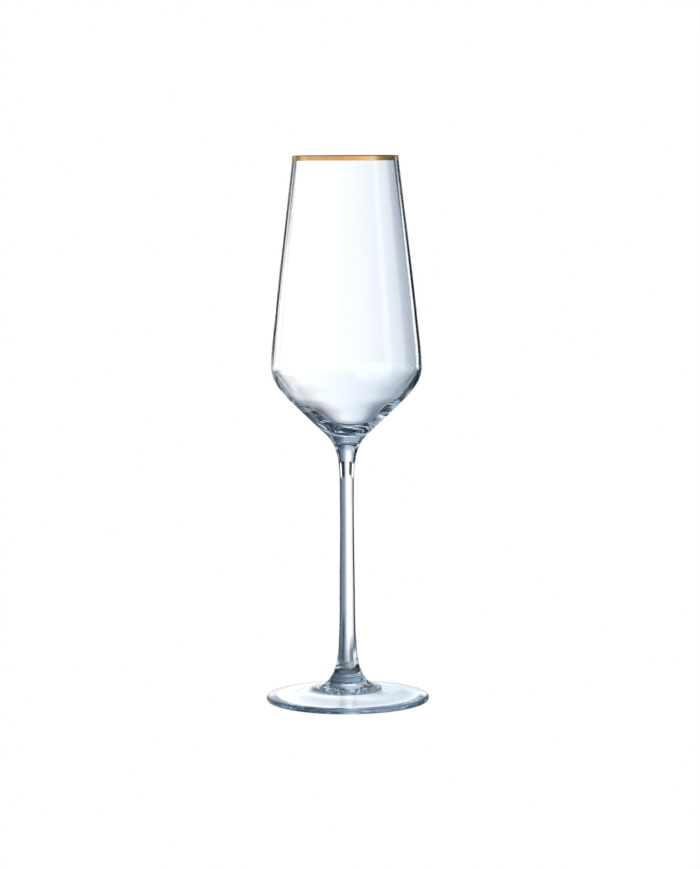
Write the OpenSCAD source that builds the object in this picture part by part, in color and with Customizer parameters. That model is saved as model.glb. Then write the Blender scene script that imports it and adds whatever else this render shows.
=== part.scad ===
// Champagne flute with a fired gold rim.
// Origin at the centre of the resting plane, +Z up along the axis, millimetres.
// Every piece is turned about the Z axis, so each outline is a list of [radius, height] points.

/* [Bowl] */
// Height from the resting plane to the lip
height = 232; // [215:1:250]
// Outside diameter at the lip
rim_d = 44.65; // [40:0.1:48]
// Outside diameter at the widest level
belly_d = 63.9; // [58:0.1:70]
// Height of the widest level
belly_z = 142.3; // [132:0.1:152]
// Slope of the wall at the lip, radius lost per millimetre of height
rim_slope = 0.115; // [0.08:0.005:0.14]
// Thickness of the blown wall
wall = 1.1; // [1.0:0.05:1.4]
// Thickness of the drawn cone where it leaves the shoulder
cone_wall = 1.8; // [1.4:0.1:2.2]
// Height of the lowest point inside the bowl
cavity_z = 116.2; // [115:0.1:118]

/* [Stem] */
// Diameter at the waist
stem_d = 6.04; // [5:0.02:7]
// Height of the waist
waist_z = 78; // [70:1:85]
// Diameter low on the stem, before it flares
low_stem_d = 6.7; // [6:0.02:8]

/* [Foot] */
// Outside diameter
foot_d = 69.5; // [62:0.5:76]
// Thickness at the edge, which is rounded all the way
edge_t = 2.4; // [1.8:0.1:2.8]
// Width of the flat ring that the flute stands on
ring_w = 3.4; // [2:0.1:5]
// Height of the hollow underside at the recess under the stem
hollow = 2.9; // [2.2:0.1:3.2]
// Diameter of that round recess
recess_d = 29.2; // [26:0.2:32]
// Depth of the recess
recess_h = 0.5; // [0.2:0.1:0.7]

/* [Gold rim] */
// Height of the band outside
band_h = 2.3; // [1.5:0.1:4]
// Height of the band inside
band_in_h = 0.9; // [0.7:0.1:1.4]
// Thickness of the band
band_t = 0.1; // [0.06:0.01:0.15]

/* [Hidden] */

$fn = 128;

// Points along the longer and the shorter curves
long_n = 16;
short_n = 8;

glass_colour = [0.86, 0.92, 0.96, 0.35];
gold_colour = [0.83, 0.62, 0.33];

// Point at t, from 0 to 1, on the curve that four control points give
function bezier(c, t) =
    pow(1 - t, 3) * c[0] + 3 * pow(1 - t, 2) * t * c[1]
    + 3 * (1 - t) * pow(t, 2) * c[2] + pow(t, 3) * c[3];

// Points from t0 to t1 on such a curve, the first one left out
function stretch(c, n, t0 = 0, t1 = 1) =
    [for (i = [1 : n]) bezier(c, t0 + (t1 - t0) * i / n)];

// The same points from the far end back to the start, the first one left out
function stretch_back(c, n) = stretch(c, n, 1, 0);

// Points on a circle about a centre, from angle a0 to angle a1. With first = 1 the first is left out.
function arc(centre, r, a0, a1, n, first = 0) =
    [for (i = [first : n]) let (a = a0 + (a1 - a0) * i / n) centre + r * [cos(a), sin(a)]];

// The curve between two points, leaving p along a and arriving at q along b
function blend(p, a, b, q) = [p, p + a, q - b, q];

rim_r = rim_d / 2;
belly_r = belly_d / 2;
stem_r = stem_d / 2;
foot_r = foot_d / 2;

// Lip: a half circle on top of a wall that leans inwards
lip_r = wall / 2;
lean = atan(rim_slope);
lip = [rim_r - lip_r, height - lip_r];
band_z = height - band_h;
band_in_z = height - band_in_h;

// Radius of the leaning wall near the lip: side is 1 outside and -1 inside, and inset is the depth
// below its surface
function rim_wall(z, side, inset = 0) =
    lip[0] + side * (lip_r - inset) / cos(lean) + (lip[1] - z) * rim_slope;

// Outside of the bowl, from the band down to the weld with the stem. A slope is the radius lost or
// gained per millimetre of height, and a reach is the length of a curve's handle.
wall_z = belly_z + 21.8;
wall_slope = 0.1;
wall_r = belly_r - 1.8;
wall_reach = (band_z - wall_z) / 3;
wall_curve = blend(
    [rim_wall(band_z, 1), band_z], wall_reach * [rim_slope, -1],
    wall_reach * [wall_slope, -1], [wall_r, wall_z]
);
belly = [belly_r, belly_z];
belly_reach = (wall_z - belly_z) / 3;
belly_curve = blend(
    [wall_r, wall_z], belly_reach * [wall_slope, -1],
    belly_reach * [0, -1], belly
);
cone_slope = 0.93;
cone_top = [0.822 * belly_r, belly_z - 11.5];
shoulder_reach = 4.5;
cone_top_reach = 3;
shoulder_curve = blend(
    belly, shoulder_reach * [0, -1],
    cone_top_reach * [-cone_slope, -1], cone_top
);
neck_slope = 1.03;
neck_top = [0.367 * belly_r, belly_z - 25.7];
cone_reach = (cone_top[1] - neck_top[1]) / 3;
cone_curve = blend(
    cone_top, cone_reach * [-cone_slope, -1],
    cone_reach * [-neck_slope, -1], neck_top
);
stem_top = [stem_r + 0.1, belly_z - 47.9];
neck_reach = 3.5;
stem_top_reach = 16.9;
neck_curve = blend(
    neck_top, neck_reach * [-neck_slope, -1],
    stem_top_reach * [0, -1], stem_top
);
neck_weld = 0.565;

// Inside of the bowl, from the wall at the band down to the axis
in_wall_curve = blend(
    [rim_wall(band_z, -1), band_z], wall_reach * [rim_slope, -1],
    wall_reach * [wall_slope, -1], [wall_r - wall, wall_z]
);
in_belly = [belly_r - 1.08 * wall, belly_z + 0.4];
in_belly_curve = blend(
    [wall_r - wall, wall_z], belly_reach * [wall_slope, -1],
    belly_reach * [0, -1], in_belly
);
cone_lean = atan(cone_slope);
in_cone_top = cone_top + cone_wall * [-cos(cone_lean), sin(cone_lean)];
in_shoulder_reach = 4.0;
in_cone_top_reach = 2.6;
in_shoulder_curve = blend(
    in_belly, in_shoulder_reach * [0, -1],
    in_cone_top_reach * [-cone_slope, -1], in_cone_top
);
in_cone_slope = 1.12;
in_cone_end = [0.43 * belly_r, cavity_z + 6.0];
in_cone_reach = (in_cone_top[1] - in_cone_end[1]) / 3;
in_cone_curve = blend(
    in_cone_top, in_cone_reach * [-cone_slope, -1],
    in_cone_reach * [-in_cone_slope, -1], in_cone_end
);
cavity_reach = 3.5;
cavity_floor_reach = 5;
cavity_curve = blend(
    in_cone_end, cavity_reach * [-in_cone_slope, -1],
    cavity_floor_reach * [-1, 0], [0, cavity_z]
);

// Stem, from the weld with the bowl down to the weld with the foot
waist = [stem_r, waist_z];
upper_reach = (stem_top[1] - waist_z) / 3;
upper_stem_curve = blend(stem_top, upper_reach * [0, -1], upper_reach * [0, -1], waist);
low_z = 42;
low_stem = [low_stem_d / 2, low_z];
middle_reach = (waist_z - low_z) / 3;
middle_stem_curve = blend(waist, middle_reach * [0, -1], middle_reach * [0, -1], low_stem);
flare_top = [low_stem[0] + 0.64, 21.9];
flare_slope = 0.074;
foot_slope = 0.264;
low_reach = (low_z - flare_top[1]) / 3;
low_stem_curve = blend(low_stem, low_reach * [0, -1], low_reach * [flare_slope, -1], flare_top);
flare_foot = [low_stem[0] + 8.45, 6.6];
flare_reach = 8;
flare_foot_reach = 5;
flare_curve = blend(
    flare_top, flare_reach * [flare_slope, -1],
    flare_foot_reach * [1, -foot_slope], flare_foot
);
flare_weld = 0.48;

// Foot, from the flare out to the round edge and under it. Here a slope is the height lost per
// millimetre outwards, and the edge's angle is measured up from the horizontal.
edge_r = edge_t / 2;
edge_centre = [foot_r - edge_r, edge_r];
edge_angle = 86;
edge_slope = 1 / tan(edge_angle);
edge_top = edge_centre + edge_r * [cos(edge_angle), sin(edge_angle)];
foot_reach = 6;
edge_reach = 8.2;
foot_top_curve = blend(
    flare_foot, foot_reach * [1, -foot_slope],
    edge_reach * [1, -edge_slope], edge_top
);
ring_in_r = foot_r - edge_r - ring_w;
recess_r = recess_d / 2;
recess_edge = [recess_r + recess_h, hollow];
hollow_reach = 5;
ring_slope = 0.07;
hollow_slope = 0.21;
hollow_curve = blend(
    [ring_in_r, 0], hollow_reach * [-1, ring_slope],
    hollow_reach * [-1, hollow_slope], recess_edge
);
recess_curve = blend(
    recess_edge, [-recess_h, 0],
    [-recess_h, 0], [recess_r - recess_h, hollow + recess_h]
);

// Outline of the lip and the wall on both sides of it, down to the given heights
function lip_outline(inset, outer_z, inner_z) = concat(
    [[rim_wall(outer_z, 1, inset), outer_z]],
    arc(lip, lip_r - inset, lean, 180 + lean, long_n),
    [[rim_wall(inner_z, -1, inset), inner_z]]
);

module turned(outline) {
    rotate_extrude() polygon(outline);
}

module bowl() {
    weld = bezier(neck_curve, neck_weld);
    color(glass_colour) turned(concat(
        [[0, weld[1]], weld],
        stretch(neck_curve, short_n, neck_weld, 0),
        stretch_back(cone_curve, short_n),
        stretch_back(shoulder_curve, long_n),
        stretch_back(belly_curve, short_n),
        stretch_back(wall_curve, long_n),
        lip_outline(band_t, band_z, band_in_z),
        [[rim_wall(band_in_z, -1), band_in_z], in_wall_curve[0]],
        stretch(in_wall_curve, long_n),
        stretch(in_belly_curve, short_n),
        stretch(in_shoulder_curve, long_n),
        stretch(in_cone_curve, short_n),
        stretch(cavity_curve, long_n)
    ));
}

module stem() {
    top = bezier(neck_curve, neck_weld);
    bottom = bezier(flare_curve, flare_weld);
    color(glass_colour) turned(concat(
        [[0, bottom[1]], [0, top[1]], top],
        stretch(neck_curve, long_n, neck_weld, 1),
        stretch(upper_stem_curve, short_n),
        stretch(middle_stem_curve, short_n),
        stretch(low_stem_curve, short_n),
        stretch(flare_curve, short_n, 0, flare_weld)
    ));
}

module foot() {
    weld = bezier(flare_curve, flare_weld);
    color(glass_colour) turned(concat(
        [[0, weld[1]], weld],
        stretch(flare_curve, short_n, flare_weld, 1),
        stretch(foot_top_curve, long_n),
        arc(edge_centre, edge_r, edge_angle, -90, long_n, 1),
        [[ring_in_r, 0]],
        stretch(hollow_curve, long_n),
        stretch(recess_curve, short_n),
        [[0, hollow + recess_h]]
    ));
}

module rim_band() {
    inner = lip_outline(band_t, band_z, band_in_z);
    outer = lip_outline(0, band_z, band_in_z);
    color(gold_colour) turned(concat(
        outer,
        [for (i = [len(inner) - 1 : -1 : 0]) inner[i]]
    ));
}

bowl();
stem();
foot();
rim_band();
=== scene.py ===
"""Champagne flute with a gold rim: the looks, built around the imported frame.

Each glass piece is a fine lathe of its CAD node's own outline, with the slight waves of drawn and
pressed glass. The welds between the pieces have no optical surface, as in fused glass.
"""

import math

import bpy
import numpy as np
from mathutils import Matrix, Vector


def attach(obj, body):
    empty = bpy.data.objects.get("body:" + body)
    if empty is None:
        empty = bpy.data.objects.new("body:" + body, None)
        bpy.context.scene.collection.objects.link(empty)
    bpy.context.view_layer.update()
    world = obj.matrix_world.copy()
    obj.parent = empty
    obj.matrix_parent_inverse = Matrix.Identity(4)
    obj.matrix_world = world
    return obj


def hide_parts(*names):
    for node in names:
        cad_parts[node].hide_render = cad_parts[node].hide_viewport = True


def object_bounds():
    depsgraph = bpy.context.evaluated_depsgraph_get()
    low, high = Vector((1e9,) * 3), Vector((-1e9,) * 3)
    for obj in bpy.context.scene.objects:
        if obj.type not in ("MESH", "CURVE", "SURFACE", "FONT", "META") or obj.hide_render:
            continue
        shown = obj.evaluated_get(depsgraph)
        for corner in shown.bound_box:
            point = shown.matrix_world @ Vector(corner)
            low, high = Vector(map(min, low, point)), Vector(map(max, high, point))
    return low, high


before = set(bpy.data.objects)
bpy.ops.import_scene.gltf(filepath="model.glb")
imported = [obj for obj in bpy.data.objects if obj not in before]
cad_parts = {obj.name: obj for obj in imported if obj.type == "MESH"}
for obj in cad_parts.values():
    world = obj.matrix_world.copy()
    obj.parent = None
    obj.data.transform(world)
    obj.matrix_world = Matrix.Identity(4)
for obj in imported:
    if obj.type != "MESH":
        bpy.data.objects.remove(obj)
cad_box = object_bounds()

MM = 0.001
HEIGHT = cad_box[1][2]

# ---------------------------------------------------------------- outlines

# An outline's point is a corner where it turns by more than this many degrees
CORNER = 28.0
# A point this close to the line between its neighbours is left out
STRAIGHT = 0.00015 * MM
# Points that agree to this many decimals of a metre are one ring
DECIMALS = 7


def neighbours(node):
    """The (radius, height) of each ring of points in the node's mesh, with the rings that edges
    join it to. Points on the axis are left out."""
    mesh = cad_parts[node].data
    rings = [
        (round(math.hypot(v.co.x, v.co.y), DECIMALS), round(v.co.z, DECIMALS))
        for v in mesh.vertices
    ]
    near = {}
    for edge in mesh.edges:
        a, b = (rings[i] for i in edge.vertices)
        if a != b and min(a[0], b[0]) > 0:
            near.setdefault(a, set()).add(b)
            near.setdefault(b, set()).add(a)
    return near


def anticlockwise(path):
    """Whether the outline, closed along the axis, runs up on its outer side."""
    closed = [(0, path[0][1]), *path, (0, path[-1][1])]
    area = sum(a[0] * b[1] - b[0] * a[1] for a, b in zip(closed, closed[1:] + closed[:1]))
    return area > 0


def outline(node):
    """The node's outline as (radius, height) points, up its outer side. It starts and ends at its
    points nearest the axis, or at its top point if it is a closed loop."""
    near = neighbours(node)
    ends = [p for p in near if len(near[p]) == 1]
    path = [ends[0] if ends else max(near, key=lambda p: p[1])]
    while True:
        left = [p for p in near[path[-1]] if p not in path]
        if not left:
            break
        path.append(min(left, key=lambda p: math.dist(p, path[-1])))
    return path if anticlockwise(path) else path[::-1]


def thinned(path):
    """The outline as arrays, without the points on its straight stretches."""
    pts = [np.array(p) for p in path]
    kept = [pts[0]]
    for a, p, b in zip(pts, pts[1:], pts[2:]):
        along = (b - a) / np.linalg.norm(b - a)
        off = abs(along[0] * (p - a)[1] - along[1] * (p - a)[0])
        if off > STRAIGHT:
            kept.append(p)
    return kept + [pts[-1]]


def turn(a, p, b):
    """The angle in degrees by which an outline turns at p."""
    before, after = p - a, b - p
    cross = before[0] * after[1] - before[1] * after[0]
    return abs(math.degrees(math.atan2(cross, before @ after)))


def curve_through(pts, step):
    """A centripetal Catmull-Rom curve through the points, with a point about every step."""
    ext = [2 * pts[0] - pts[1], *pts, 2 * pts[-1] - pts[-2]]
    out = [pts[0]]
    for p0, p1, p2, p3 in zip(ext, ext[1:], ext[2:], ext[3:]):
        d0, d1, d2 = (np.linalg.norm(q - p) ** 0.5 for p, q in ((p0, p1), (p1, p2), (p2, p3)))
        leave = d1 * ((p1 - p0) / d0 - (p2 - p0) / (d0 + d1) + (p2 - p1) / d1)
        arrive = d1 * ((p2 - p1) / d1 - (p3 - p1) / (d1 + d2) + (p3 - p2) / d2)
        count = max(1, math.ceil(np.linalg.norm(p2 - p1) / step))
        for t in np.arange(1, count + 1) / count:
            out.append(
                (2 * t**3 - 3 * t**2 + 1) * p1 + (t**3 - 2 * t**2 + t) * leave
                + (3 * t**2 - 2 * t**3) * p2 + (t**3 - t**2) * arrive
            )
    return out


def refined(path, step):
    """The outline refined between its corners, as (radius, height, is a corner) rows."""
    pts = thinned(path)
    inner = range(1, len(pts) - 1)
    corners = [0, *(i for i in inner if turn(*pts[i - 1 : i + 2]) > CORNER), len(pts) - 1]
    rows = []
    for a, b in zip(corners, corners[1:]):
        run = curve_through(pts[a : b + 1], step) if b - a > 1 else pts[a : b + 1]
        rows += [(r, max(z, 0), k == 0) for k, (r, z) in enumerate(run[:-1])]
    return rows + [(*pts[-1], True)]


# ---------------------------------------------------------------- lathe


def lathe(name, rows, segments, materials, ends=None, wave=None):
    """A closed mesh turned from outline rows. ends gives the material index of the discs that close
    it on the axis, at the first row and at the last, and without it the outline is a closed loop.
    wave moves the ring at (r, z) by small steps outwards and upwards at each angle."""
    angle = np.arange(segments) * 2 * math.pi / segments
    verts = []
    for r, z, _ in rows:
        out, up = wave(r, z, angle) if wave else (0, 0)
        radius = r + out + 0 * angle
        height = z + up + 0 * angle
        verts.extend(zip(radius * np.cos(angle), radius * np.sin(angle), height))

    def ring(i):
        return [i * segments + k for k in range(segments)]

    faces = []
    slots = []
    sharp = set()
    count = len(rows)
    for i in range(count - 1 if ends else count):
        low, high = ring(i), ring((i + 1) % count)
        for k in range(segments):
            after = (k + 1) % segments
            faces.append((low[k], low[after], high[after], high[k]))
            slots.append(0)
    for i, row in enumerate(rows):
        if row[2]:
            sharp.update(zip(ring(i), ring(i)[1:] + ring(i)[:1]))
    for slot, i in zip(ends or (), (0, count - 1)):
        rim = ring(i) if i else ring(i)[::-1]
        centre = len(verts)
        verts.append((0, 0, sum(verts[k][2] for k in rim) / segments))
        for a, b in zip(rim, rim[1:] + rim[:1]):
            faces.append((a, b, centre))
            slots.append(slot)

    mesh = bpy.data.meshes.new(name)
    mesh.from_pydata([tuple(map(float, v)) for v in verts], [], faces)
    for material in materials:
        mesh.materials.append(material)
    mesh.polygons.foreach_set("material_index", slots)
    mesh.polygons.foreach_set("use_smooth", [True] * len(faces))
    sharp = {tuple(sorted(pair)) for pair in sharp}
    for edge in mesh.edges:
        edge.use_edge_sharp = tuple(sorted(edge.vertices)) in sharp
    piece = bpy.data.objects.new(name, mesh)
    bpy.context.scene.collection.objects.link(piece)
    return piece


# ---------------------------------------------------------------- materials


def principled(name):
    """A new material, with its node tree and its shader."""
    material = bpy.data.materials.new(name)
    material.use_nodes = True
    tree = material.node_tree
    return material, tree, tree.nodes["Principled BSDF"]


def tint_inside(tree):
    """The faint blue of clear glass, which shows at its edges, where light goes a long way in it."""
    tint = tree.nodes.new("ShaderNodeVolumeAbsorption")
    tint.inputs["Color"].default_value = (0.35, 0.60, 0.80, 1.0)
    tint.inputs["Density"].default_value = 16.0
    tree.links.new(tint.outputs[0], tree.nodes["Material Output"].inputs["Volume"])


def fused_weld():
    """The face inside a weld, which has no surface of its own: light crosses it unchanged."""
    material, tree, shader = principled("fused_weld")
    shader.inputs["Alpha"].default_value = 0.0
    tint_inside(tree)
    return material


def noise(tree, size, detail, stretch=(1, 1, 1)):
    """Noise in the object's own space, with patches of about the given size in metres."""
    coords = tree.nodes.new("ShaderNodeTexCoord")
    mapping = tree.nodes.new("ShaderNodeMapping")
    mapping.inputs["Scale"].default_value = stretch
    texture = tree.nodes.new("ShaderNodeTexNoise")
    texture.inputs["Scale"].default_value = 1 / size
    texture.inputs["Detail"].default_value = detail
    tree.links.new(coords.outputs["Object"], mapping.inputs["Vector"])
    tree.links.new(mapping.outputs["Vector"], texture.inputs["Vector"])
    return texture.outputs["Fac"]


def graded(tree, value, stops):
    """The tone or share that belongs to a value from 0 to 1, on straight runs between the stops."""
    node = tree.nodes.new("ShaderNodeValToRGB")
    row = node.color_ramp
    row.elements.remove(row.elements[-1])
    for i, (at, tone) in enumerate(stops):
        stop = row.elements[0] if i == 0 else row.elements.new(at)
        stop.position = at
        stop.color = (*tone, 1) if isinstance(tone, tuple) else (tone, tone, tone, 1)
    tree.links.new(value, node.inputs[0])
    return node.outputs[0]


def uneven(tree, shader, height, depth, strength):
    """A surface that a pattern raises by up to the given depth."""
    bump = tree.nodes.new("ShaderNodeBump")
    bump.inputs["Strength"].default_value = strength
    bump.inputs["Distance"].default_value = depth
    tree.links.new(height, bump.inputs["Height"])
    tree.links.new(bump.outputs[0], shader.inputs["Normal"])


def clear_glass():
    """Clear glass, fire-polished: very slightly uneven, with a trace of dulling in patches."""
    material, tree, shader = principled("clear_glass")
    shader.inputs["Base Color"].default_value = (1.0, 1.0, 1.0, 1.0)
    shader.inputs["Transmission Weight"].default_value = 1.0
    shader.inputs["IOR"].default_value = 1.52
    patches = noise(tree, 30 * MM, 2)
    dulling = [(0.45, 0.0), (0.75, 0.02)]
    tree.links.new(graded(tree, patches, dulling), shader.inputs["Roughness"])
    uneven(tree, shader, noise(tree, 24 * MM, 1), 0.04 * MM, 1.0)
    tint_inside(tree)
    return material


def fired_gold():
    """Gold paint, brushed on in a turn of the glass and fired: thicker and thinner along the rim,
    with fine brush lines around it."""
    material, tree, shader = principled("fired_gold")
    patches = noise(tree, 14 * MM, 3)
    coat = [(0.34, (0.88, 0.49, 0.19)), (0.50, (0.96, 0.61, 0.26)), (0.66, (1.00, 0.73, 0.40))]
    tree.links.new(graded(tree, patches, coat), shader.inputs["Base Color"])
    shader.inputs["Metallic"].default_value = 1.0
    lines = noise(tree, 1.5 * MM, 2, stretch=(1, 1, 9))
    tree.links.new(graded(tree, lines, [(0.3, 0.16), (0.7, 0.30)]), shader.inputs["Roughness"])
    uneven(tree, shader, lines, 0.02 * MM, 0.12)
    return material


GLASS = clear_glass()
WELD = fused_weld()
GOLD = fired_gold()

# ---------------------------------------------------------------- pieces

STEP = 0.7 * MM
SEGMENTS = 192

# Slight waves in the glass, inside the bottom of the bowl and in the recess under the foot: height
# in millimetres, how many there are around the axis, the angle of the first one in degrees, the
# radius where it is highest, and how far it reaches from there, in millimetres
BOTTOM_WAVES = [
    (0.70, 1, 180, 9.0, 6.0),
    (0.40, 2, 0, 12.0, 5.0),
    (0.15, 3, 200, 11.0, 3.5),
]
RECESS_WAVES = [
    (0.05, 3, 10, 6.0, 2.5),
    (0.06, 5, 40, 9.5, 2.0),
    (0.05, 8, 0, 12.0, 1.5),
    (0.03, 13, 25, 8.0, 4.0),
]
# A point of the bowl's bottom is on its inner side where its height is this much more than its
# radius. Higher up the waves have died away.
INSIDE = 107 * MM
# The underside of the foot is below this height, and its waves reach out to this radius
UNDERSIDE = 3.5 * MM
RECESS_OUT = 14 * MM
# The recess is pressed slightly to the left of the axis. The shift grows over the first span of
# radii and fades over the second.
RECESS_ASIDE = -1.0 * MM
ASIDE_STARTS = (3 * MM, 9 * MM)
ASIDE_FADES = (16 * MM, 25 * MM)


def waves(rows, r, angle):
    """The height of all the waves at a radius, at each angle."""
    total = 0 * angle
    for height, count, first, at, reach in rows:
        near = math.exp(-(((r / MM - at) / reach) ** 2))
        total = total + height * MM * near * np.cos(count * (angle - math.radians(first)))
    return total


def bowl_wave(r, z, angle):
    """How far the bowl's ring at (r, z) moves outwards and upwards."""
    return (0, waves(BOTTOM_WAVES, r, angle)) if z - r > INSIDE else (0, 0)


def eased(value, start, end):
    """0 up to the start and 1 from the end on, with a smooth rise between them."""
    share = min(max((value - start) / (end - start), 0), 1)
    return share * share * (3 - 2 * share)


def foot_wave(r, z, angle):
    """How far the foot's ring at (r, z) moves outwards and upwards."""
    if z > UNDERSIDE or r > ASIDE_FADES[1]:
        return (0, 0)
    aside = RECESS_ASIDE * eased(r, *ASIDE_STARTS) * (1 - eased(r, *ASIDE_FADES)) * np.cos(angle)
    return (aside, waves(RECESS_WAVES, r, angle) if r < RECESS_OUT else 0)


def across(rows):
    """The rows, with rings added on the flat disc between the axis and the first one."""
    r, z, _ = rows[0]
    return [(inner, z, False) for inner in np.arange(STEP, r, STEP)] + [(r, z, False), *rows[1:]]


def glass_piece(name, node, ends, wave=None):
    """The glass that replaces a node. Each end on the axis is glass, 0, or the face of a weld, 1."""
    rows = refined(outline(node), STEP)
    if ends[0] == 0:
        rows = across(rows)
    piece = lathe(name, rows, SEGMENTS, (GLASS, WELD), ends, wave)
    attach(piece, "root")
    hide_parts(node)


glass_piece("bowl_glass", "bowl", ends=(1, 0), wave=bowl_wave)
glass_piece("stem_glass", "stem", ends=(1, 1))
glass_piece("foot_glass", "foot", ends=(0, 1), wave=foot_wave)

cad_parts["rim_band"].data.materials[0] = GOLD

# ---------------------------------------------------------------- stage

FLOOR = 4.0
FLOOR_Z = -0.5 * MM


def pale_floor():
    """A floor that glows plain white, so nothing on it or behind it casts a line."""
    corners = [(-FLOOR, -FLOOR), (FLOOR, -FLOOR), (FLOOR, FLOOR), (-FLOOR, FLOOR)]
    mesh = bpy.data.meshes.new("floor")
    mesh.from_pydata([(x, y, FLOOR_Z) for x, y in corners], [], [(0, 1, 2, 3)])
    material = bpy.data.materials.new("floor")
    material.use_nodes = True
    tree = material.node_tree
    tree.nodes.clear()
    glow = tree.nodes.new("ShaderNodeEmission")
    out = tree.nodes.new("ShaderNodeOutputMaterial")
    tree.links.new(glow.outputs[0], out.inputs[0])
    mesh.materials.append(material)
    floor = bpy.data.objects.new("floor", mesh)
    floor.visible_transmission = False
    floor.visible_glossy = False
    floor.visible_diffuse = False
    bpy.context.scene.collection.objects.link(floor)


pale_floor()

# ---------------------------------------------------------------- light

# The studio, as seen from the flute. Directions are in degrees: azimuth 0 is straight behind it,
# 90 to its right and -90 to its left, and elevation is above the horizon. A tone is
# (red, green, blue). The tones and the panels' places were first found by a numeric fit of the
# light to the photograph, and were then rounded and changed by eye against test renders.

ROOM = (0.020, 0.045, 0.080)

# The white backdrop falls off to blue-grey on the right. Its tones by azimuth, level with the bowl
BACKDROP = [
    (-42, (0.02, 0.02, 0.02)),
    (-36, (0.35, 0.36, 0.40)),
    (-24, (0.60, 0.61, 0.64)),
    (-17, (1.00, 1.00, 1.00)),
    (-12, (1.35, 1.35, 1.35)),
    (-4, (1.42, 1.42, 1.42)),
    (-1, (1.15, 1.17, 1.20)),
    (1, (0.98, 1.03, 1.07)),
    (3, (0.84, 0.91, 0.98)),
    (6, (0.66, 0.75, 0.86)),
    (9, (0.44, 0.54, 0.66)),
    (12, (0.32, 0.39, 0.48)),
    (18, (0.24, 0.30, 0.38)),
    (26, (0.15, 0.19, 0.25)),
    (34, (0.06, 0.08, 0.11)),
    (42, (0.01, 0.02, 0.03)),
]
# Its tones level with the stem and the foot
BACKDROP_LOW = [
    (-46, (0.01, 0.02, 0.03)),
    (-40, (0.50, 0.52, 0.56)),
    (-33, (0.95, 0.95, 0.97)),
    (-20, (1.08, 1.08, 1.08)),
    (-12, (1.30, 1.30, 1.30)),
    (-4, (1.30, 1.31, 1.32)),
    (-1, (1.14, 1.20, 1.26)),
    (1, (1.00, 1.08, 1.16)),
    (4, (0.80, 0.89, 1.00)),
    (8, (0.52, 0.61, 0.74)),
    (12, (0.34, 0.41, 0.52)),
    (18, (0.26, 0.32, 0.41)),
    (26, (0.14, 0.18, 0.24)),
    (34, (0.06, 0.08, 0.11)),
    (42, (0.01, 0.02, 0.03)),
]
# The elevation where the one changes to the other, and over how many degrees
BACKDROP_CHANGE = (-5.5, 2.5)
# How much of the backdrop shows, by elevation
BACKDROP_SHARE = [
    (-31, 0.0),
    (-27, 0.45),
    (-21, 0.5),
    (-15, 0.68),
    (-11, 1.0),
    (7, 1.0),
    (18, 0.8),
    (23, 0.5),
    (44, 0.5),
    (52, 0.0),
]

# Panels in front of it: first and last azimuth, lowest and highest elevation, how soft the upright
# and the level edges are, and tone. Each one covers those before it.
PANELS = [
    ("ground", -180, 180, -100, -62, 6, 8, (0.17, 0.20, 0.24)),
    ("upper backdrop", -38, 4, 18, 50, 10, 5, (0.62, 0.70, 0.80)),
    ("ceiling", -90, 90, 52, 95, 20, 8, (0.30, 0.34, 0.40)),
    ("lower left shade", -50, -9, -60, -13.5, 5, 3, (0.20, 0.24, 0.29)),
    ("lower right shade", 14, 60, -60, -10, 4, 3, (0.05, 0.08, 0.11)),
    ("left table", -66, -28, -44, -17, 6, 6, (1.00, 1.04, 1.10)),
    ("front table", 106, 164, -34, 2, 8, 6, (1.10, 1.13, 1.18)),
    ("left flag", -31, -12, -4.2, 3.6, 1.2, 1.4, (0.02, 0.024, 0.03)),
    ("right flag", 11, 32.3, -5.2, 3.6, 1.2, 1.6, (0.006, 0.010, 0.014)),
    ("left lamp", -52, -32, -5, 3.6, 2, 2, (1.4, 1.4, 1.4)),
    ("right lamp", 32.8, 43, -5, 3.6, 2, 2, (1.9, 1.95, 2.0)),
    ("left wall", -70, -54, -6, 8, 4, 4, (0.45, 0.47, 0.50)),
    ("left window", -114, -68, -16, 10, 6, 6, (1.10, 1.13, 1.16)),
    ("front wall, left half", -180, -97, -4, 24, 20, 6, (0.76, 0.76, 0.76)),
    ("front wall, right half", 106, 180, -4, 24, 10, 6, (0.92, 0.92, 0.92)),
    ("right wall", 44, 104, 8, 18, 6, 4, (0.42, 0.40, 0.38)),
]

world = bpy.data.worlds.new("studio")
bpy.context.scene.world = world
world.use_nodes = True
sky = world.node_tree
sky.nodes.clear()


def math_node(op, *values):
    """The result of one operation on numbers or on other nodes' values."""
    node = sky.nodes.new("ShaderNodeMath")
    node.operation = op
    for socket, value in zip(node.inputs, values):
        if isinstance(value, (int, float)):
            socket.default_value = value
        else:
            sky.links.new(value, socket)
    return node.outputs[0]


def rise(value, at, soft):
    """0 below the given level and 1 above it, with a smooth edge that is soft wide."""
    node = sky.nodes.new("ShaderNodeMapRange")
    node.interpolation_type = "SMOOTHSTEP"
    sky.links.new(value, node.inputs["Value"])
    node.inputs["From Min"].default_value = at - soft / 2
    node.inputs["From Max"].default_value = at + soft / 2
    return node.outputs["Result"]


def between(value, low, high, soft):
    """1 where the value is between low and high, with smooth edges. A full turn has no edge."""
    inside = 1.0
    if low > -180:
        inside = math_node("MULTIPLY", inside, rise(value, low, soft))
    if high < 180:
        inside = math_node("MULTIPLY", inside, math_node("SUBTRACT", 1.0, rise(value, high, soft)))
    return inside


def by_angle(degrees, stops):
    """The tone or the share at an angle from -180 to 180 degrees."""
    turned = math_node("MULTIPLY_ADD", degrees, 1 / 360, 0.5)
    return graded(sky, turned, [((angle + 180) / 360, tone) for angle, tone in stops])


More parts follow.
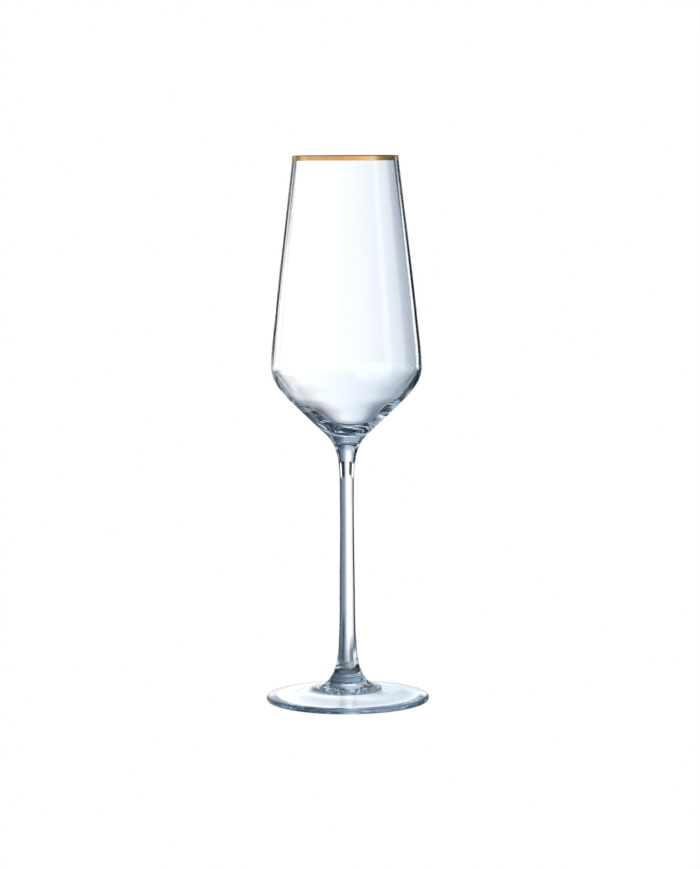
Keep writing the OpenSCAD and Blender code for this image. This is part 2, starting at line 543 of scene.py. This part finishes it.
def cover(below, above, share):
    """One tone laid over another."""
    node = sky.nodes.new("ShaderNodeMix")
    node.data_type = "RGBA"
    sky.links.new(share, node.inputs["Factor"])
    for socket, tone in ((node.inputs[6], below), (node.inputs[7], above)):
        if isinstance(tone, tuple):
            socket.default_value = (*tone, 1)
        else:
            sky.links.new(tone, socket)
    return node.outputs[2]


def background(tone):
    """The studio's glow in one tone, or in the tone that a node gives."""
    node = sky.nodes.new("ShaderNodeBackground")
    if isinstance(tone, tuple):
        node.inputs["Color"].default_value = (*tone, 1)
    else:
        sky.links.new(tone, node.inputs["Color"])
    return node.outputs[0]


coords = sky.nodes.new("ShaderNodeTexCoord")
split = sky.nodes.new("ShaderNodeSeparateXYZ")
sky.links.new(coords.outputs["Generated"], split.inputs[0])
east, north, up = split.outputs
azimuth = math_node("DEGREES", math_node("ARCTAN2", east, north))
elevation = math_node("DEGREES", math_node("ARCSINE", up))

upper = rise(elevation, *BACKDROP_CHANGE)
backdrop = cover(by_angle(azimuth, BACKDROP_LOW), by_angle(azimuth, BACKDROP), upper)
studio = cover(ROOM, backdrop, by_angle(elevation, BACKDROP_SHARE))
for _, first, last, low, high, side_soft, level_soft, tone in PANELS:
    beside = between(azimuth, first, last, side_soft)
    level = between(elevation, low, high, level_soft)
    studio = cover(studio, tone, math_node("MULTIPLY", beside, level))

# The camera itself sees plain white behind the flute
ray = sky.nodes.new("ShaderNodeLightPath")
seen = sky.nodes.new("ShaderNodeMixShader")
sky.links.new(ray.outputs["Is Camera Ray"], seen.inputs[0])
sky.links.new(background(studio), seen.inputs[1])
sky.links.new(background((1.0, 1.0, 1.0)), seen.inputs[2])
world_out = sky.nodes.new("ShaderNodeOutputWorld")
sky.links.new(seen.outputs[0], world_out.inputs[0])

# ---------------------------------------------------------------- camera

# The camera's numbers are rounded from a fit to the photograph's outline of the flute. It stands at
# the height of the lip, this far in front of it and to its right, in metres
CAMERA_AWAY = 1.250
CAMERA_ASIDE = 0.00145
# How far it looks down and leans, in degrees
PITCH = 5.395
ROLL = 0.25
# The frame's long side and the focal length in pixels of the frame, and the sensor in millimetres
LONG_SIDE = 869
FOCAL = 2960
SENSOR = 36

cam_data = bpy.data.cameras.new("camera")
cam_data.sensor_width = SENSOR
cam_data.lens = SENSOR * FOCAL / LONG_SIDE
camera = bpy.data.objects.new("camera", cam_data)
bpy.context.scene.collection.objects.link(camera)
camera.matrix_world = (
    Matrix.Translation((CAMERA_ASIDE, -CAMERA_AWAY, HEIGHT))
    @ Matrix.Rotation(math.radians(90 - PITCH), 4, "X")
    @ Matrix.Rotation(math.radians(-ROLL), 4, "Z")
)
bpy.context.scene.camera = camera

# Light crosses many faces inside the solid stem and foot before it comes out
GLASS_BOUNCES = 48
GLOSSY_BOUNCES = 24

scene = bpy.context.scene
scene.view_settings.view_transform = "Standard"
scene.cycles.max_bounces = GLASS_BOUNCES
scene.cycles.transmission_bounces = GLASS_BOUNCES
scene.cycles.transparent_max_bounces = GLASS_BOUNCES
scene.cycles.glossy_bounces = GLOSSY_BOUNCES
